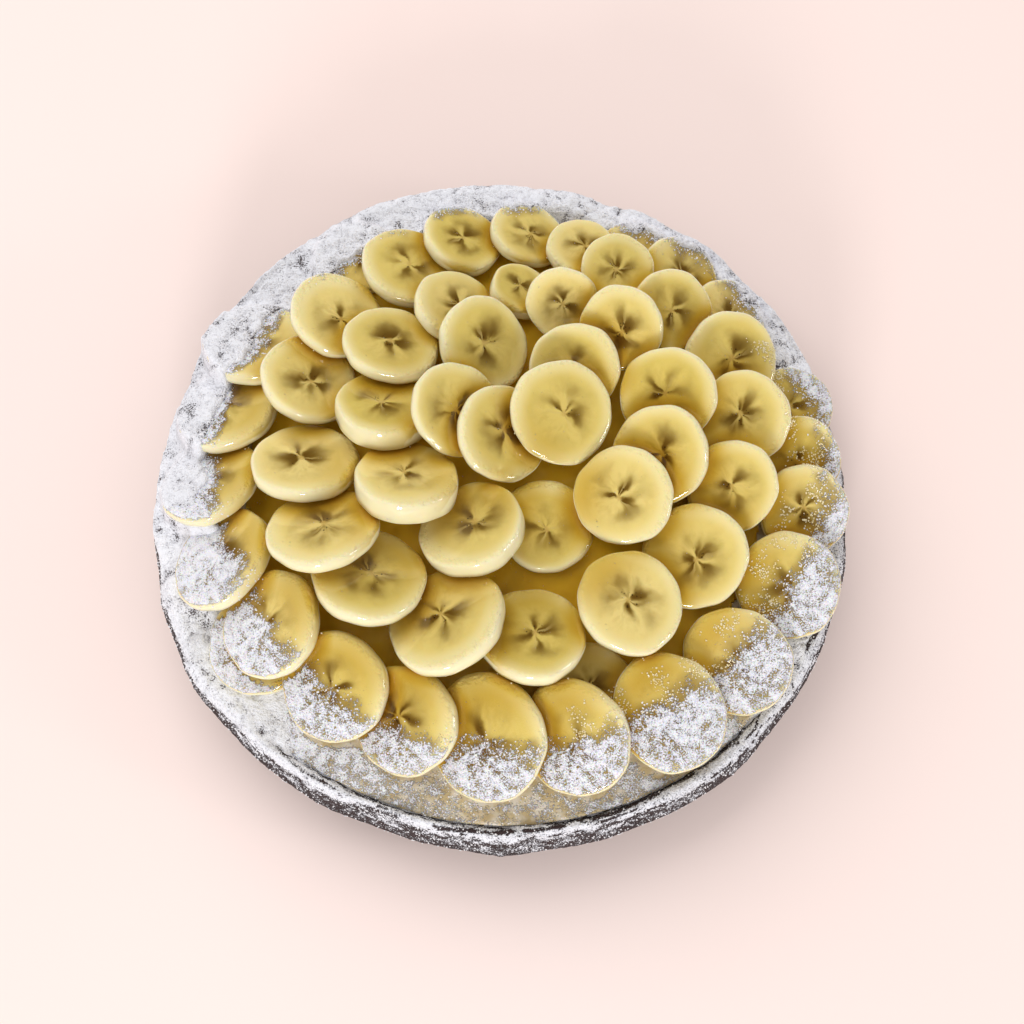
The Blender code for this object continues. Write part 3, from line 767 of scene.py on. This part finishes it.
# A clump or a drop: six points, on the axes, and the eight faces between them.
LUMP = np.array(((1, 0, 0), (-1, 0, 0), (0, 1, 0), (0, -1, 0), (0, 0, 1), (0, 0, -1)), float)
UPPER_FACES = ((0, 2, 4), (2, 1, 4), (1, 3, 4), (3, 0, 4))
LUMP_FACES = np.array((*UPPER_FACES, (2, 0, 5), (1, 2, 5), (3, 1, 5), (0, 3, 5)))


def scatter(name, spots, sizes, surface, seed):
    """One mesh of small uneven lumps, one at each spot."""
    draw = np.random.default_rng(seed)
    count = len(spots)
    turns = draw.normal(size=(count, 4))
    turns /= np.linalg.norm(turns, axis=1)[:, None]
    w, x, y, z = turns.T
    spin = np.array(
        (
            (1 - 2 * (y * y + z * z), 2 * (x * y - w * z), 2 * (x * z + w * y)),
            (2 * (x * y + w * z), 1 - 2 * (x * x + z * z), 2 * (y * z - w * x)),
            (2 * (x * z - w * y), 2 * (y * z + w * x), 1 - 2 * (x * x + y * y)),
        )
    ).transpose(2, 0, 1)
    shapes = LUMP[None] * draw.uniform(0.65, 1.25, (count, 6, 1)) * sizes[:, None, None]
    points = np.einsum("nij,nkj->nki", spin, shapes) + spots[:, None, :]
    faces = (LUMP_FACES[None] + 6 * np.arange(count)[:, None, None]).reshape(-1, 3)
    thing = add_piece(name, points.reshape(-1, 3), faces.tolist(), surface)
    thing.data.shade_flat()
    return thing


def sugar_spots(ground):
    """Where loose clumps of sugar lie: thick along the edge of the dusting, thinner on the closed bed."""
    draw = np.random.default_rng(77)
    tries = 90000
    far = np.sqrt(draw.uniform(60.0**2, 116.5**2, tries))
    bearing = draw.uniform(0, math.tau, tries)
    chance = draw.uniform(0, 1, tries)
    starts = np.column_stack((far * np.cos(bearing), far * np.sin(bearing), np.full(tries, ABOVE)))
    beyond = beyond_edge(starts)
    likely = np.minimum(smooth(-3.0, 6.0, beyond), 0.25 + 0.6 * (1 - smooth(4.0, 16.0, beyond)))
    spots = []
    for i in np.flatnonzero(chance < likely * 0.42):
        hit, normal, _, _ = ground.ray_cast(Vector(starts[i]), Vector((0, 0, -1)))
        if hit is not None and abs(normal.z) > 0.25:
            spots.append(hit)
    return np.array(spots)


def wall_spots(ground):
    """Where clumps of sugar cling to the case's outer wall: many below the rim, few at the foot."""
    draw = np.random.default_rng(78)
    spots = []
    for _ in range(16000):
        bearing, height, chance = draw.uniform(0, math.tau), draw.uniform(0.5, 30), draw.uniform()
        if chance > 0.06 + 0.6 * (height / 30) ** 2:
            continue
        c, s = math.cos(bearing), math.sin(bearing)
        hit = ground.ray_cast(Vector((OUTSIDE * c, OUTSIDE * s, height)), Vector((-c, -s, 0)))[0]
        if hit is not None:
            spots.append(hit)
    return np.array(spots)


def syrup_spots(ground):
    """Where sugar has melted into wet beads, painted pale as glints: just inside its edge, at the right and
    front right.
    """
    draw = np.random.default_rng(76)
    tries = 13000
    far = np.sqrt(draw.uniform(72.0**2, 106.0**2, tries))
    bearing = draw.uniform(math.radians(-75), math.radians(32), tries)
    chance = draw.uniform(0, 1, tries)
    starts = np.column_stack((far * np.cos(bearing), far * np.sin(bearing), np.full(tries, ABOVE)))
    beyond = beyond_edge(starts)
    patchy = smooth(-0.1, 0.4, wander(starts, 6.0, 45))
    likely = smooth(-13.0, -4.0, beyond) * (1 - smooth(-1.0, 4.0, beyond)) * patchy
    spots = []
    for i in np.flatnonzero(chance < likely * 0.8):
        hit, normal, _, _ = ground.ray_cast(Vector(starts[i]), Vector((0, 0, -1)))
        if hit is not None and abs(normal.z) > 0.5:
            spots.append(hit)
    return spots


# The tart

flesh, pastry, custard = banana_flesh(), chocolate_crust(), set_custard()
slice_names = sorted(name for name in nodes if name.startswith("banana_"))

case = pastry_case(nodes["crust"], pastry)
filling = custard_fill(nodes["custard"], custard)
slices = []
for number, name in enumerate(slice_names, start=1):
    slices.append(banana_slice("slice_" + name[-2:], nodes[name], number, flesh))
roof = tree_of(slices)
own_trees = [tree_of([piece]) for piece in slices]
middles = [piece.matrix_world.translation / MM for piece in slices]

for index, piece in enumerate(slices):
    points, normals = world_points(piece)
    facing = normals @ np.array(piece.matrix_world)[:3, 2]
    set_values(piece, "dust", sugar_cover(points, normals, roof) * smooth(0.3, 0.92, facing))
    # Pooled glaze, with painted shade near the slices laid over each one and weaker at the back.
    set_values(piece, "pool_and_shade", pooled_glaze_and_shade(index, points, normals, own_trees, middles))

glaze = run_in_glaze(filling, amber_glaze())
for piece, share in ((filling, 0.5), (glaze, 0.8)):
    points, normals = world_points(piece)
    sides = 0.6 * (1 - round_about(points, 269, 24))
    set_values(piece, "dust", (share + sides) * sugar_cover(points, normals, roof))
set_values(case, "dust", case_dust(*world_points(case)))
bank = sugar_bank(case, filling, slices, banked_sugar())

everything = tree_of([case, filling, glaze, bank, *slices])
spots = np.concatenate((sugar_spots(everything), wall_spots(everything)))
draw = np.random.default_rng(79)
clumps = scatter("icing_sugar", spots, draw.uniform(0.16, 0.42, len(spots)), sugar_clumps(), 80)

drops = []
for index, piece in enumerate(slices):
    points, normals = world_points(piece)
    pool_and_shade = np.empty(len(points), np.float32)
    piece.data.attributes["pool_and_shade"].data.foreach_get("value", pool_and_shade)
    wet = np.flatnonzero((pool_and_shade > 0.7) & (beyond_edge(points) < -4))
    if len(wet):
        chosen = draw.choice(wet, min(len(wet) // 9, 7), replace=False)
        drops.extend(points[chosen] + 0.1 * normals[chosen])
drops = np.array(drops + syrup_spots(everything))
beads = scatter("glaze_drops_painted_glints", drops, draw.uniform(0.2, 0.5, len(drops)), glinting_glaze_beads(), 81)
beads.data.shade_smooth()

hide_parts("crust")
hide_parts("custard")
for piece, name in zip(slices, slice_names):
    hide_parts(name)
for piece in (case, filling, glaze, bank, clumps, beads, *slices):
    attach(piece, "root")


# Floor, light and camera


def area_light(name, place, width, power, mirrored=True):
    """A soft square light at a place in metres, turned to the tart. The glaze mirrors only the lights that
    say so."""
    data = bpy.data.lights.new(name, "AREA")
    data.shape = "SQUARE"
    data.size = width
    data.energy = power
    lamp = bpy.data.objects.new(name, data)
    lamp.location = place
    lamp.rotation_euler = (Vector((0, 0, 0.03)) - Vector(place)).to_track_quat("-Z", "Y").to_euler()
    lamp.visible_glossy = mirrored
    bpy.context.scene.collection.objects.link(lamp)


def pale_floor():
    """A wide pale table that the tart stands on."""
    made, tree, shader = new_material("pale painted board")
    where = node(tree, "TexCoord", {}).outputs["Object"]
    cloud = node(tree, "TexNoise", {"Vector": where, "Scale": 3.0, "Detail": 2.0}).outputs["Fac"]
    paint = node(tree, "Mix", {0: cloud, 6: "#FCE5DD", 7: "#FCEBE6"}, data_type="RGBA").outputs[2]
    tree.links.new(paint, shader.inputs["Base Color"])
    shader.inputs["Roughness"].default_value = 0.7
    reach = 3000.0
    corners = [(-reach, -reach, -0.2), (reach, -reach, -0.2), (reach, reach, -0.2), (-reach, reach, -0.2)]
    floor = add_piece("floor", corners, [(0, 1, 2, 3)], made)


pale_floor()
area_light("window_softbox", (-0.65, 0.95, 1.2), 1.8, 18.2, mirrored=False)
area_light("front_softbox", (-0.15, -1.3, 0.5), 0.32, 9.4)
area_light("right_softbox", (1.2, -0.3, 0.55), 0.22, 1.8)

world = bpy.data.worlds.new("pale_room")
world.use_nodes = True
world.node_tree.nodes["Background"].inputs["Color"].default_value = colour("#F6F3F2")
world.node_tree.nodes["Background"].inputs["Strength"].default_value = 0.61
world.cycles_visibility.glossy = False
bpy.context.scene.world = world

# The view is from the front, 72 degrees above the table, half a metre away.
camera = bpy.data.objects.new("camera", bpy.data.cameras.new("camera"))
camera.data.lens = 55.09
camera.data.sensor_width = 36.0
camera.data.clip_start = 0.01
camera.data.clip_end = 50.0
elevation, distance, target = math.radians(72.0), 0.512, Vector((0.0036, -0.0057, 0.030))
camera.location = target + distance * Vector((0, -math.cos(elevation), math.sin(elevation)))
camera.rotation_euler = (math.pi / 2 - elevation, 0, 0)
bpy.context.scene.collection.objects.link(camera)
bpy.context.scene.camera = camera
bpy.context.scene.view_settings.view_transform = "Standard"
